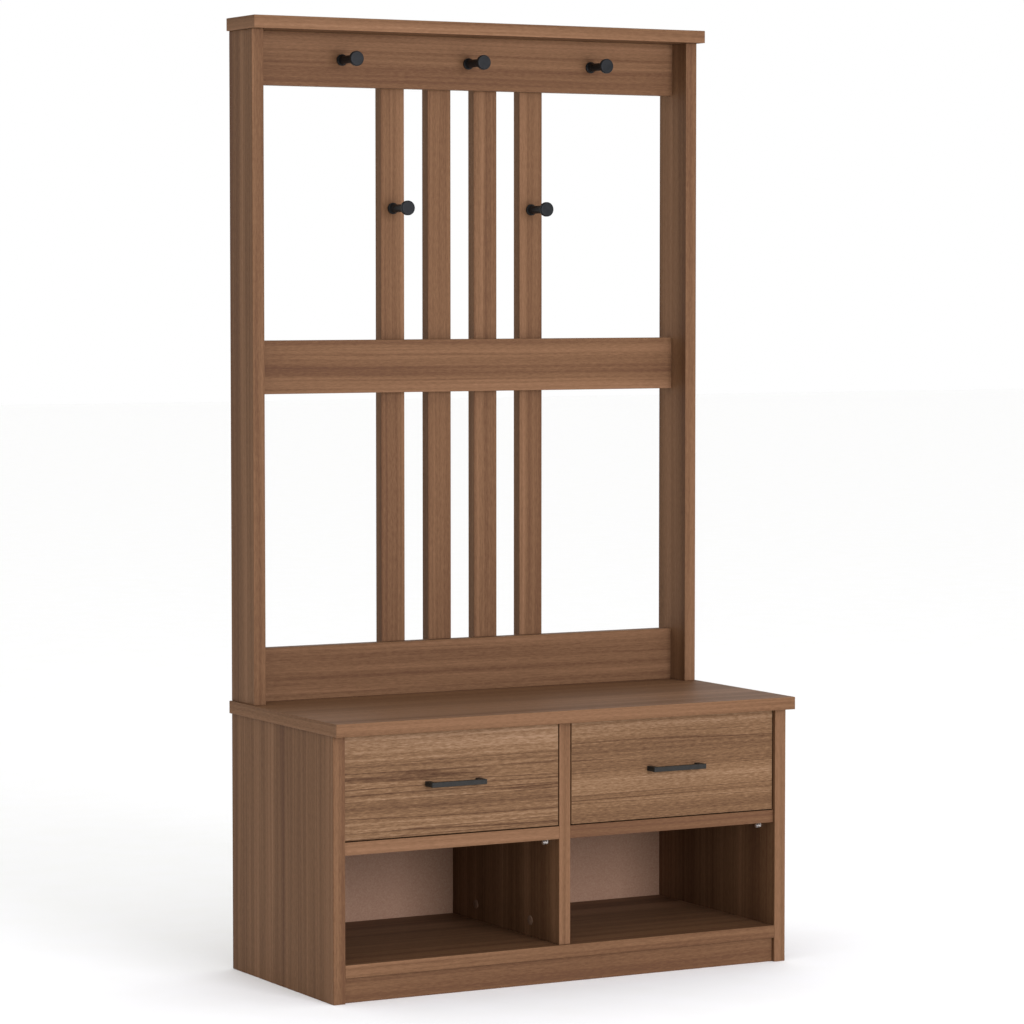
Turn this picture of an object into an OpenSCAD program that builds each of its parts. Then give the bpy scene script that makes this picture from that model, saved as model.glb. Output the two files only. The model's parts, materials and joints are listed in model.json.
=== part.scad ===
// Hall tree: a two-drawer shoe bench with an open back frame, five coat knobs and a cap board.
// Millimetres. +Z is up, +X is to the right and the front faces -Y.
// The origin is on the floor, under the middle of the bench top.

/* [Overall] */
// Width of the bench top and of the cap board
overall_w = 900; // [700:1:1200]
// Height from the floor to the top of the cap board
overall_h = 1656; // [1350:1:1950]
// Thickness of every main board
board_t = 22; // [20:1:28]

/* [Bench] */
// Depth of the bench, from the side panels' front edges to the rear
carcass_d = 400; // [380:1:520]
// Height of the side panels
carcass_h = 450; // [430:1:560]
// How far the bench top and the cap board stand out at each side
side_overhang = 5; // [0:1:20]
// How far the bench top stands out in front of the side panels
front_overhang = 23; // [21:1:40]
// Height of the plinth under the floor shelf
plinth_h = 43; // [35:1:80]
// How far the plinth stands back from the side panels
plinth_inset = 8; // [0:1:30]
// How far the divider, the middle shelves and the drawer fronts stand back
front_inset = 6; // [4:1:12]
// Height from the floor to the underside of the middle shelves
mid_shelf_z = 248; // [180:1:262]
// Thickness of the back panel
back_t = 4; // [3:0.5:6]
// How far the back panel laps onto each side panel
back_lap = 12; // [8:1:16]
// Height of the back panel's lower edge above the floor
back_z = 12; // [0:1:30]

/* [Upper frame] */
// Depth of the two posts
post_d = 93; // [75:1:130]
// Height of each of the three rails
rail_h = 93; // [80:1:130]
// Height of the openings between the middle rail and the top rail
upper_opening = 441; // [330:1:520]
// How far the cap board stands out in front of the posts
cap_overhang = 21; // [0:1:40]
// Width of a slat
slat_w = 46; // [34:1:60]
// Distance from the middle of one slat to the next
slat_pitch = 93; // [75:1:110]

/* [Knobs] */
// Diameter of a knob's head
knob_head_d = 26; // [20:1:36]
// Diameter of a knob's neck
knob_neck_d = 14; // [11:1:18]
// Diameter of a knob's base
knob_base_d = 20; // [18:1:30]
// Length of a knob, from the wood to the front of its head
knob_l = 62; // [45:1:80]
// Thickness of a knob's head at its rim
knob_head_t = 7; // [5:1:10]
// Distance from the middle knob to the knobs near the posts
knob_spread = 250; // [190:1:290]
// Distance of the knobs on the outer slats below the top rail
slat_knob_drop = 210; // [60:1:240]

/* [Drawers] */
// Thickness of a drawer front
front_t = 18; // [16:1:22]
// Gap at each side of a drawer front
side_gap = 2; // [1.5:0.5:4]
// Gap under a drawer front
lower_gap = 2; // [1.5:0.5:4]
// Gap over a drawer front
upper_gap = 3; // [2:0.5:5]
// Thickness of a drawer's sides and back
box_t = 15; // [15:1:18]
// Height of a drawer's sides
box_h = 120; // [80:1:140]
// Length of a drawer's sides
box_l = 345; // [300:1:350]
// Height of the drawer sides above the shelf under them
box_lift = 12; // [10:1:20]
// Thickness of a drawer's bottom sheet
bottom_t = 4; // [3:0.5:6]
// Depth of the grooves that hold the bottom sheet
groove_d = 7; // [5:1:8]
// Height of the groove above a drawer side's lower edge
groove_z = 10; // [8:1:16]

/* [Handles] */
// Distance between a handle's two screws
handle_centres = 96; // [64:32:160]
// Width of each of a handle's two feet
handle_foot_w = 10; // [8:1:12]
// Height of a handle's bar
handle_h = 8.5; // [7:0.5:12]
// Thickness of a handle's bar, front to rear
handle_bar_t = 7; // [5:0.5:9]
// How far a handle stands out from its drawer front
handle_reach = 25; // [22:1:28]

/* [Runners] */
// Space for a runner between a drawer side and the wall beside it
runner_gap = 12.5; // [12.5:0.1:14]
// Thickness of the runners' sheet steel
steel_t = 1.2; // [1:0.1:1.5]
// Diameter of a roller
roller_d = 19; // [16:0.5:22]
// Width of a roller
roller_w = 5.6; // [5:0.2:6]
// Diameter of a roller's axle
axle_d = 4; // [3:0.5:6]
// Height of the runners above a drawer side's lower edge
runner_lift = 2; // [1:0.5:10]
// Clearance between a roller and what it rolls on
roll_gap = 0.3; // [0.3:0.05:0.6]
// Distance of a roller from the sheet steel beside it
roller_stand = 2.8; // [2.6:0.1:3]
// Width of the flange under a drawer side
under_flange = 12; // [10:1:14]

/* [Fasteners] */
// Clearance round a screw, dowel or pin in its hole
fit_gap = 0.1; // [0.05:0.05:0.3]
// Distance of the front row of fittings from the side panels' front edges
fitting_front = 108; // [90:1:130]
// Distance from the front row of fittings to the rear row
fitting_pitch = 200; // [160:1:230]
// Distance of a cam's middle from the joint that it closes
cam_setback = 28; // [24:1:34]
// Diameter of a cam
cam_d = 15; // [12:1:16]
// Diameter of a wooden dowel
dowel_d = 8; // [6:1:10]
// Length of a wooden dowel that lies across a joint
dowel_l = 30; // [24:1:36]
// Distance of the front shelf pins from the side panels' front edges
pin_front = 50; // [40:1:80]
// Diameter of a shelf pin
pin_d = 5; // [5:0.5:7]
// Distance from the underside of a middle shelf down to the middle of its pins
pin_drop = 11; // [9:1:16]

/* [Hidden] */
$fn = 48;
X = [1, 0, 0];
Y = [0, 1, 0];
Z = [0, 0, 1];

// Colours: brown wood-grain boards, black-slate metal, white runners, bright steel and zinc.
board_colour = "#85634b";
front_colour = "#8d6d53";
sheet_colour = "#75594a";
slate_colour = "#2e3236";
runner_colour = "#e8e8e4";
steel_colour = "#b9bbbd";
cover_colour = "#b08e74";
beech_colour = "#d2b48c";

// Main planes.
total_d = carcass_d + front_overhang;
y_rear = total_d / 2;
y_front = y_rear - carcass_d;
y_inset = y_front + front_inset;
y_back = y_rear - back_t;
x_out = overall_w / 2 - side_overhang;
x_in = x_out - board_t;
half_t = board_t / 2;
seat_z = carcass_h + board_t;
floor_top = plinth_h + board_t;
shelf_top = mid_shelf_z + board_t;
cap_z = overall_h - board_t;
bay_w = x_in - half_t;
bay_x = half_t + bay_w / 2;

// Upper frame: the slats stand behind the rails, flush with the posts' rear edges.
y_post = y_rear - post_d;
y_slat = y_rear - board_t;
y_rail = y_slat - board_t;
rail_z = [seat_z, cap_z - 2 * rail_h - upper_opening, cap_z - rail_h];
slat_x = [for (i = [-1.5:1.5]) i * slat_pitch];

// Knob places: three along the top rail, then one on each outer slat.
top_knob_z = cap_z - rail_h / 2;
slat_knob_z = rail_z[2] - slat_knob_drop;
knob_at = [
    [-knob_spread, y_rail, top_knob_z],
    [0, y_rail, top_knob_z],
    [knob_spread, y_rail, top_knob_z],
    [slat_x[0], y_slat, slat_knob_z],
    [slat_x[3], y_slat, slat_knob_z]
];
knob_foot_t = 4;
knob_foot_edge = 1;
knob_foot_flare = 8;
knob_head_flare = 9;
knob_edge_r = 2;
knob_screw_in = 12;

// Drawers: everything in a drawer is drawn about the middle of its bay.
front_lo = [-bay_w / 2 + side_gap, y_inset, shelf_top + lower_gap];
front_hi = [bay_w / 2 - side_gap, y_inset + front_t, carcass_h - upper_gap];
box_x = bay_w / 2 - runner_gap;
box_y = y_inset + front_t;
box_z = shelf_top + box_lift;
back_y = box_y + box_l - box_t;
groove_top = box_z + groove_z + bottom_t;
handle_z = (front_lo.z + front_hi.z) / 2;
handle_screw_in = 12;
handle_screw_head_t = 2.2;
bottom_gap = 1;

// Runners: a channel on each wall, an angle on each drawer side and a roller on each.
wall_x = bay_w / 2;
channel_z = box_z + runner_lift;
axle_z = channel_z + steel_t + roll_gap + roller_d / 2;
angle_z = axle_z + roller_d / 2 + roll_gap;
channel_top = angle_z + 2 * steel_t + 2.5 * roll_gap;
web_gap = 0.8;
wall_gap = 1.6;
flange_w = runner_gap - 2 * steel_t - web_gap;
roller_x = wall_x - steel_t - roller_stand - roller_w / 2;
runner_end = 2;
flange_start = 3;
front_axle_y = box_y + roller_d / 2 + runner_end;
rear_axle_y = box_y + box_l - roller_d / 2 - runner_end - 1;
axle_head_d = axle_d + 3;
axle_head_t = 0.8;
axle_play = 0.3;
bore_play = 0.05;

// Shapes of the round fasteners: each step is [start, end, radius] along the fastener.
head_t = 2.4;
slat_head_r = 3.8;
slat_shank_r = 1.9;
slat_screw_l = 35;
slat_screw = [[0, head_t, slat_head_r], [head_t, slat_screw_l, slat_shank_r]];
cover_t = 1.2;
cover_r = 6.5;
frame_screw_l = 60;
frame_head_t = 4;
frame_head_r = 5;
frame_shank_r = 2.5;
frame_screw = [
    [cover_t, cover_t + frame_head_t, frame_head_r],
    [cover_t + frame_head_t, frame_screw_l, frame_shank_r]
];
post_screw = [[0, frame_head_t, frame_head_r], [frame_head_t, frame_screw_l, frame_shank_r]];
cover_plug = [[0, cover_t, cover_r]];
machine_r = 2;
knob_screw_head_t = 2.6;
knob_screw = [
    [0, knob_screw_head_t, 2 * machine_r],
    [knob_screw_head_t, board_t + knob_screw_in, machine_r]
];
dowel = [[-dowel_l / 2, dowel_l / 2, dowel_d / 2]];
thread_in = 11;
cam_neck = cam_setback - 4;
cam_head = cam_setback + 3;
bolt_thread_r = 2.9;
bolt_neck_r = 2.5;
bolt_head_r = 3.2;
cam_bolt = [
    [-thread_in, 0, bolt_thread_r],
    [0, cam_neck, bolt_neck_r],
    [cam_neck, cam_head, bolt_head_r]
];
cam_pocket_r = 3.6;
cam_past_bolt = 4.5;
cam_deep = half_t + cam_past_bolt;
cam = [[0, cam_deep, cam_d / 2]];
cap_t = 0.8;
cap_lip = 1;
cam_cap = [[-cap_t, 0, cam_d / 2 + cap_lip]];
pin_in = 9;
pin_out = 8;
pin_collar_r = pin_d / 2 + 1;
shelf_pin = [[-pin_in, pin_out, pin_d / 2], [0, pin_out, pin_collar_r]];
rest_t = 2;
rest_w = pin_d + 6;
nail_head_t = 0.8;
nail_l = 20;
nail_head_r = 2.2;
nail_r = 0.9;
nail = [[0, nail_head_t, nail_head_r], [nail_head_t, nail_l, nail_r]];
runner_screw_r = 1.6;
runner_head_t = 1.2;
runner_screw_in = 8.5;
runner_screw = [
    [-runner_head_t, 0, 2 * runner_screw_r],
    [0, steel_t + runner_screw_in, runner_screw_r]
];
box_head_t = 3;
box_head_r = 3.5;
box_shank_r = 2;
box_screw_l = 45;
box_screw = [[0, box_head_t, box_head_r], [box_head_t, box_screw_l, box_shank_r]];
angle_screw_r = 1.5;
angle_screw_skin = 2;
angle_head_t = 1.6;
angle_screw = [
    [-angle_head_t, 0, 2 * angle_screw_r],
    [0, steel_t + groove_z - angle_screw_skin, angle_screw_r]
];

function from_front(a) = y_front + a;
fitting_y = [for (i = [0, 1]) from_front(fitting_front + i * fitting_pitch)];
dowel_y = [for (i = [0.25, 0.75]) from_front(fitting_front + i * fitting_pitch)];
rail_y = y_rail + half_t;
plinth_y = from_front(plinth_inset + half_t);
post_mid_y = (y_post + y_rear) / 2;
post_fitting_y = [for (s = [-1, 1]) post_mid_y + s * post_d / 4];

// Cam joints: [a point on the joint, the direction into the cam's board, the side it opens to].
cam_joints = concat(
    [for (s = [-1, 1], y = fitting_y) [[s * x_in, y, plinth_h + half_t], -s * X, -Z]],
    [for (y = fitting_y) [[0, y, floor_top], Z, -X]],
    [for (y = fitting_y) [[0, y, carcass_h], -Z, -X]],
    [for (s = [-1, 1], y = fitting_y) [[s * (x_in + half_t), y, carcass_h], -Z, -s * X]],
    [for (s = [-1, 1], z = rail_z) [[s * x_in, rail_y, z + rail_h / 2], -s * X, Y]],
    [for (s = [-1, 1]) [[s * x_in, plinth_y, plinth_h / 2], -s * X, Y]]
);

// Every fastener is [a point, the direction it points in, its steps].
bolts = [for (j = cam_joints) [j[0], j[1], cam_bolt]];
cams = [for (j = cam_joints) [j[0] + j[1] * cam_setback + j[2] * half_t, -j[2], cam]];
cam_caps = [for (j = cam_joints) if (j[1] == Z || j[2] == Y && j[0].z > seat_z)
    [j[0] + j[1] * cam_setback + j[2] * half_t, -j[2], cam_cap]];
dowels = concat(
    [for (s = [-1, 1], y = dowel_y) [[s * x_in, y, plinth_h + half_t], X, dowel]],
    [for (y = dowel_y) [[0, y, floor_top + dowel_l / 6], Z, dowel]],
    [for (s = [-1, 0, 1], y = dowel_y)
        [[s * (x_in + half_t), y, carcass_h - dowel_l / 6], Z, dowel]],
    [for (s = [-1, 1], z = rail_z, k = [-1, 1])
        [[s * (x_in - dowel_l / 6), rail_y, z + rail_h / 2 + k * rail_h / 3], X, dowel]],
    [for (s = [-1, 1]) [[s * bay_x, plinth_y, plinth_h - dowel_l / 6], Z, dowel]],
    [for (s = [-1, 1], y = post_fitting_y) [[s * (x_in + half_t), y, seat_z + dowel_l / 6], Z, dowel]],
    [for (s = [-1, 1]) [[s * (x_in + half_t), post_mid_y, cap_z - dowel_l / 6], Z, dowel]]
);
post_screws = [for (s = [-1, 1]) [[s * (x_in + half_t), post_mid_y, carcass_h], Z, post_screw]];
cap_screws = [for (s = [-1, 1], y = post_fitting_y) [[s * (x_in + half_t), y, overall_h], -Z, frame_screw]];
cap_plugs = [for (f = cap_screws) [f[0], f[1], cover_plug]];
slat_screws = [for (x = slat_x, z = rail_z, k = [-1, 1])
    [[x, y_rear, z + rail_h / 2 + k * rail_h / 4], -Y, slat_screw]];
knob_screws = [for (k = knob_at) [[k.x, k.y + board_t, k.z], -Y, knob_screw]];
pin_y = [from_front(pin_front), from_front(carcass_d - pin_front)];
shelf_pins = [for (w = [[-x_in, 1], [-half_t, -1], [half_t, 1], [x_in, -1]], y = pin_y)
    [[w[0], y, mid_shelf_z - pin_drop], w[1] * X, shelf_pin]];
nail_rows = [for (i = [0:4]) floor_top + (carcass_h - floor_top) * (i + 0.5) / 5];
nails = concat(
    [for (s = [-1, 1], z = nail_rows) [[s * (x_in + back_lap / 2), y_rear, z], -Y, nail]],
    [for (s = [-1, 1], k = [0.2, 0.5, 0.8]) [[s * k * x_in, y_rear, plinth_h + half_t], -Y, nail]],
    [for (s = [-1, 1], k = [0.3, 0.7]) [[s * k * x_in, y_rear, mid_shelf_z + half_t], -Y, nail]],
    [for (z = [nail_rows[0], nail_rows[4]]) [[0, y_rear, z], -Y, nail]]
);
runner_screw_y = [for (k = [0.2, 0.5, 0.8]) box_y + k * box_l];
runner_screws = [for (b = [-1, 1], s = [-1, 1], y = runner_screw_y)
    [[b * bay_x + s * (wall_x - steel_t), y, axle_z], s * X, runner_screw]];
root_fasteners = concat(bolts, cams, dowels, post_screws, cap_screws, cap_plugs, slat_screws,
    knob_screws, shelf_pins, nails, runner_screws);

// Fasteners of one drawer, about the middle of its bay.
box_cam_z = box_z + box_h * 0.35;
box_dowel_z = box_z + box_h * 0.8;
box_thread_in = 9;
box_bolt = [[-box_thread_in, 0, bolt_thread_r], cam_bolt[1], cam_bolt[2]];
box_cam_past_bolt = 4;
box_cam = [[0, box_t / 2 + box_cam_past_bolt, cam_d / 2]];
box_dowel = [[-box_thread_in, dowel_l - box_thread_in, dowel_d / 2]];
box_bolts = [for (s = [-1, 1]) [[s * (box_x - box_t / 2), box_y, box_cam_z], Y, box_bolt]];
box_cams = [for (s = [-1, 1]) [[s * (box_x - box_t), box_y + cam_setback, box_cam_z], s * X, box_cam]];
box_dowels = [for (s = [-1, 1]) [[s * (box_x - box_t / 2), box_y, box_dowel_z], Y, box_dowel]];
box_screws = [for (s = [-1, 1], k = [0.3, 0.8])
    [[s * box_x, back_y + box_t / 2, box_z + k * box_h], -s * X, box_screw]];
angle_screws = [for (s = [-1, 1], k = [0.2, 0.8])
    [[s * (box_x - box_t / 2), box_y + k * box_l, box_z - steel_t], Z, angle_screw]];
handle_screw = [[-handle_screw_head_t, 0, 2 * machine_r], [0, front_t + handle_screw_in, machine_r]];
handle_screws = [for (s = [-1, 1])
    [[s * handle_centres / 2, box_y, handle_z], -Y, handle_screw]];
drawer_fasteners = concat(box_bolts, box_cams, box_dowels, box_screws, angle_screws, handle_screws);

// ---- helpers ----

// Places its children at a point, with their +Z turned to one of the six main directions.
module along(p, dir) {
    turn = dir.z > 0 ? [0, 0, 0] : dir.z < 0 ? [180, 0, 0]
        : dir.x != 0 ? [0, 90 * dir.x, 0] : [-90 * dir.y, 0, 0];
    translate(p) rotate(turn) children();
}

// One fastener: its steps stacked along its direction.
module fastener(f) {
    along(f[0], f[1])
        for (s = f[2])
            translate([0, 0, s[0]]) cylinder(r = s[2], h = s[1] - s[0]);
}

// True where one step of a fastener reaches into the box from lo to hi.
function meets(f, s, lo, hi) = let(
    a = f[0] + f[1] * s[0],
    b = f[0] + f[1] * s[1],
    r = [for (i = [0:2]) f[1][i] == 0 ? s[2] : 0]
) min([for (i = [0:2])
    min(max(a[i], b[i]) + r[i], hi[i]) - max(min(a[i], b[i]) - r[i], lo[i])]) > 0.01;

// The holes that a list of fasteners makes in the box from lo to hi.
module holes(fasteners, lo, hi) {
    tip = 0.5;
    skin = 0.05;
    for (f = fasteners, i = [0:len(f[2]) - 1]) {
        s = f[2][i];
        start = s[0] - (i == 0 ? skin : 0);
        end = s[1] + (i == len(f[2]) - 1 ? tip : 0);
        if (meets(f, s, lo, hi))
            along(f[0], f[1]) translate([0, 0, start])
                cylinder(r = s[2] + fit_gap, h = end - start);
    }
}

module block(lo, hi) {
    translate(lo) cube(hi - lo);
}

// A board from lo to hi, drilled for every fastener of the list that reaches it.
module board(lo, hi, fasteners = root_fasteners) {
    difference() {
        block(lo, hi);
        holes(fasteners, lo, hi);
    }
}

// A cam with the driver slot in its face and the pocket that its bolt's head sits in.
module cam_lock(c, bolt) {
    slot = [8, 1.6, 2];
    difference() {
        fastener(c);
        along(c[0], c[1]) cube([slot.x, slot.y, slot.z * 2], center = true);
        along(bolt[0], bolt[1]) cylinder(r = cam_pocket_r, h = cam_head + 0.5);
    }
}

// ---- bench ----

module side_panel(s) {
    lo = [s < 0 ? -x_out : x_in, y_front, 0];
    hi = [s < 0 ? -x_in : x_out, y_rear, carcass_h];
    color(board_colour)
        difference() {
            board(lo, hi);
            translate([s * (x_in + back_lap / 2), y_rear, carcass_h / 2 + back_z / 2])
                cube([back_lap + 2 * fit_gap, 2 * back_t, carcass_h - back_z + 2 * fit_gap], center = true);
        }
}

module divider() {
    color(board_colour) board([-half_t, y_inset, floor_top], [half_t, y_back, carcass_h]);
}

module bench_top() {
    color(board_colour)
        board([-overall_w / 2, y_front - front_overhang, carcass_h], [overall_w / 2, y_rear, seat_z]);
}

module floor_shelf() {
    color(board_colour) board([-x_in, y_front, plinth_h], [x_in, y_back, floor_top]);
}

module mid_shelf(s) {
    lo = [s < 0 ? -x_in : half_t, y_inset, mid_shelf_z];
    color(board_colour) board(lo, [lo.x + bay_w, y_back, shelf_top]);
}

module plinth() {
    color(board_colour)
        board([-x_in, y_front + plinth_inset, 0], [x_in, y_front + plinth_inset + board_t, plinth_h]);
}

module back_panel() {
    color(sheet_colour)
        board([-x_in - back_lap, y_back, back_z], [x_in + back_lap, y_rear, carcass_h]);
}

// ---- upper frame ----

module post(s) {
    lo = [s < 0 ? -x_out : x_in, y_post, seat_z];
    color(board_colour) board(lo, [lo.x + board_t, y_rear, cap_z]);
}

module cap_board() {
    color(board_colour)
        board([-overall_w / 2, y_post - cap_overhang, cap_z], [overall_w / 2, y_rear, overall_h]);
}

module rail(z) {
    color(board_colour) board([-x_in, y_rail, z], [x_in, y_slat, z + rail_h]);
}

module slat(i) {
    x = slat_x[i];
    color(board_colour) board([x - slat_w / 2, y_slat, seat_z], [x + slat_w / 2, y_rear, cap_z]);
}

// A turned knob: a flat base, a waisted neck and a mushroom head with a rounded rim.
module knob(at) {
    head_r = knob_head_d / 2;
    neck_r = knob_neck_d / 2;
    base_r = knob_base_d / 2;
    foot_r = base_r - knob_foot_edge;
    flare_end = knob_l - knob_head_t;
    color(slate_colour)
        along(at, -Y)
            difference() {
                rotate_extrude($fn = 64)
                    polygon(concat(
                        [[0, 0], [base_r, 0], [base_r, knob_foot_t - knob_foot_edge], [foot_r, knob_foot_t]],
                        [for (a = [0:15:90]) [neck_r + (foot_r - neck_r) * (1 - sin(a)),
                            knob_foot_t + knob_foot_flare * (1 - cos(a))]],
                        [for (a = [0:15:90]) [neck_r + (head_r - neck_r - 1) * (1 - cos(a)),
                            flare_end - knob_head_flare * (1 - sin(a))]],
                        [for (a = [0:30:90]) [head_r - knob_edge_r * (1 - cos(a)),
                            knob_l - knob_edge_r * (1 - sin(a))]],
                        [[0, knob_l]]
                    ));
                translate([0, 0, -1]) cylinder(r = machine_r + fit_gap, h = knob_screw_in + 2);
            }
}

// ---- fasteners of the bench and the frame ----

module cam_bolts() {
    color(steel_colour)
        for (f = bolts)
            fastener(f);
}

module cam_locks() {
    color(steel_colour)
        for (i = [0:len(cams) - 1])
            cam_lock(cams[i], bolts[i]);
}

module cover_caps() {
    color(cover_colour)
        for (f = concat(cam_caps, cap_plugs))
            fastener(f);
}

module wood_dowels() {
    color(beech_colour)
        for (f = dowels)
            fastener(f);
}

module frame_screws() {
    color(steel_colour)
        for (f = concat(post_screws, cap_screws))
            fastener(f);
}

module slat_screws() {
    color(steel_colour)
        for (f = slat_screws)
            fastener(f);
}

module knob_screws() {
    color(steel_colour)
        for (f = knob_screws)
            fastener(f);
}

// The plate of a shelf pin: a tab up the wall and a ledge that the shelf lies on.
module shelf_rest(f) {
    below = pin_collar_r / 2;
    translate(f[0]) mirror([f[1].x < 0 ? 1 : 0, 0, 0]) {
        translate([0, -rest_w / 2, -below]) cube([rest_t, rest_w, below + pin_drop]);
        translate([0, -rest_w / 2, pin_drop - rest_t]) cube([pin_out, rest_w, rest_t]);
    }
}

module shelf_pins() {
    color(steel_colour)
        for (f = shelf_pins) {
            fastener(f);
            shelf_rest(f);
        }
}

module back_panel_nails() {
    color(steel_colour)
        for (f = nails)
            fastener(f);
}

module runner_screws() {
    color(steel_colour)
        for (f = runner_screws)
            fastener(f);
}

// ---- runners ----

// The channel on a wall, open towards the drawer, with the axle of its front roller.
module cabinet_runner(s) {
    lo = [wall_x - steel_t, box_y, channel_z];
    lip = flange_w + steel_t;
    mirror([s < 0 ? 1 : 0, 0, 0]) {
        difference() {
            union() {
                block(lo, [wall_x, box_y + box_l, channel_top]);
                block([wall_x - lip, box_y + roller_d + flange_start, channel_z],
                    [wall_x, box_y + box_l, channel_z + steel_t]);
                block([wall_x - lip, box_y, channel_top - steel_t], [wall_x, box_y + box_l, channel_top]);
            }
            for (y = runner_screw_y)
                translate([wall_x - steel_t - 1, y, axle_z]) rotate([0, 90, 0])
                    cylinder(r = runner_screw_r + fit_gap, h = steel_t + 2);
        }
        axle(front_axle_y, wall_x - steel_t, -1);
    }
}

// A roller's axle, standing on a face at x, with a shoulder and a flat head that keep the roller on.
module axle(y, x, dir) {
    inner = abs(x - roller_x) - roller_w / 2 - axle_play;
    outer = abs(x - roller_x) + roller_w / 2 + axle_play;
    along([x, y, axle_z], [dir, 0, 0]) {
        cylinder(d = axle_head_d, h = inner);
        cylinder(d = axle_d, h = outer + axle_head_t);
        translate([0, 0, outer]) cylinder(d = axle_head_d, h = axle_head_t);
    }
}

module cabinet_runners() {
    color(runner_colour)
        for (b = [-1, 1], s = [-1, 1])
            translate([b * bay_x, 0, 0]) cabinet_runner(s);
}

// The angle on a drawer side: a foot under the side, a web beside it and a flange over the rollers.
module drawer_runner(s) {
    web = box_x + steel_t;
    foot_z = box_z - steel_t;
    flange_end = wall_x - steel_t - wall_gap;
    mirror([s < 0 ? 1 : 0, 0, 0]) {
        difference() {
            union() {
                block([box_x, box_y, foot_z], [web, box_y + box_l, angle_z + steel_t]);
                block([box_x - under_flange, box_y, foot_z], [web, box_y + box_l, box_z]);
                block([box_x, box_y, angle_z], [flange_end, box_y + box_l, angle_z + steel_t]);
            }
            holes([for (f = angle_screws) if (f[0].x > 0) f],
                [box_x - under_flange, box_y, foot_z], [web, box_y + box_l, box_z]);
        }
        axle(rear_axle_y, web, 1);
    }
}

// A nylon roller with a recessed web and a bore that runs on its axle.
module roller(x, y) {
    rim = 2.4;
    dish = 1.2;
    hub_d = axle_d + 4;
    along([x - roller_w / 2, y, axle_z], X)
        difference() {
            cylinder(d = roller_d, h = roller_w);
            translate([0, 0, -1]) cylinder(d = axle_d + 2 * bore_play, h = roller_w + 2);
            for (z = [-dish, roller_w - dish])
                translate([0, 0, z])
                    difference() {
                        cylinder(d = roller_d - 2 * rim, h = 2 * dish);
                        translate([0, 0, -1]) cylinder(d = hub_d, h = 2 * dish + 2);
                    }
        }
}

module roller_pair(b, y) {
    color("#f2f2ee")
        for (s = [-1, 1])
            roller(b * bay_x + s * roller_x, y);
}

// ---- drawers ----

// Everything in one drawer is moved from the middle of the bench to the middle of its bay.
module in_bay(b) {
    translate([b * bay_x, 0, 0]) children();
}

module bottom_slot() {
    block([-box_x + box_t - groove_d - fit_gap, box_y - groove_d - fit_gap, box_z + groove_z - fit_gap],
        [box_x - box_t + groove_d + fit_gap, box_y + box_l + 1, groove_top + fit_gap]);
}

module drawer_front(b) {
    color(front_colour)
        in_bay(b)
            difference() {
                board(front_lo, front_hi, drawer_fasteners);
                bottom_slot();
            }
}

module drawer_side(b, s) {
    lo = [s < 0 ? -box_x : box_x - box_t, box_y, box_z];
    color(board_colour)
        in_bay(b)
            difference() {
                board(lo, lo + [box_t, box_l, box_h], drawer_fasteners);
                bottom_slot();
            }
}

module drawer_back(b) {
    color(board_colour)
        in_bay(b)
            board([-box_x + box_t, back_y, groove_top + fit_gap],
                [box_x - box_t, back_y + box_t, box_z + box_h], drawer_fasteners);
}

module drawer_bottom(b) {
    color(sheet_colour)
        in_bay(b)
            block([-box_x + box_t - groove_d, box_y - groove_d, box_z + groove_z],
                [box_x - box_t + groove_d, box_y + box_l - bottom_gap, groove_top]);
}

// A square bar on two feet, with a tapped hole up each foot.
module drawer_handle(b) {
    half_l = handle_centres / 2 + handle_foot_w / 2;
    z = [handle_z - handle_h / 2, handle_z + handle_h / 2];
    y_bar = y_inset - handle_reach;
    color(slate_colour)
        in_bay(b)
            difference() {
                union() {
                    block([-half_l, y_bar, z[0]], [half_l, y_bar + handle_bar_t, z[1]]);
                    for (s = [-1, 1])
                        translate([s * handle_centres / 2, y_inset - handle_reach / 2, handle_z])
                            cube([handle_foot_w, handle_reach, handle_h], center = true);
                }
                holes(handle_screws, [-half_l, y_bar, z[0]], [half_l, y_inset, z[1]]);
            }
}

module drawer_handle_screws(b) {
    color(steel_colour)
        in_bay(b)
            for (f = handle_screws)
                fastener(f);
}

module drawer_cam_fittings(b) {
    color(steel_colour)
        in_bay(b)
            for (i = [0, 1]) {
                fastener(box_bolts[i]);
                cam_lock(box_cams[i], box_bolts[i]);
            }
    color(beech_colour)
        in_bay(b)
            for (f = box_dowels)
                fastener(f);
}

module drawer_screws(b) {
    color(steel_colour)
        in_bay(b)
            for (f = concat(box_screws, angle_screws))
                fastener(f);
}

module drawer_runners(b) {
    color(runner_colour)
        in_bay(b)
            for (s = [-1, 1])
                drawer_runner(s);
}

// ---- the nodes ----

side_panel(-1);  // side_panel_left
side_panel(1);  // side_panel_right
divider();
bench_top();
floor_shelf();
mid_shelf(-1);  // mid_shelf_left
mid_shelf(1);  // mid_shelf_right
plinth();
back_panel();
post(-1);  // post_left
post(1);  // post_right
cap_board();
rail(rail_z[2]);  // top_rail
rail(rail_z[1]);  // middle_rail
rail(rail_z[0]);  // bottom_rail
slat(0);  // slat_1
slat(1);  // slat_2
slat(2);  // slat_3
slat(3);  // slat_4
knob(knob_at[0]);  // knob_top_left
knob(knob_at[1]);  // knob_top_middle
knob(knob_at[2]);  // knob_top_right
knob(knob_at[3]);  // knob_slat_left
knob(knob_at[4]);  // knob_slat_right
cam_bolts();
cam_locks();
cover_caps();
wood_dowels();
frame_screws();
slat_screws();
knob_screws();
shelf_pins();
back_panel_nails();
cabinet_runners();
runner_screws();
roller_pair(-1, front_axle_y);  // front_rollers_left
roller_pair(1, front_axle_y);  // front_rollers_right
drawer_front(-1);  // drawer_left_front
drawer_side(-1, -1);  // drawer_left_side_a
drawer_side(-1, 1);  // drawer_left_side_b
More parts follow.
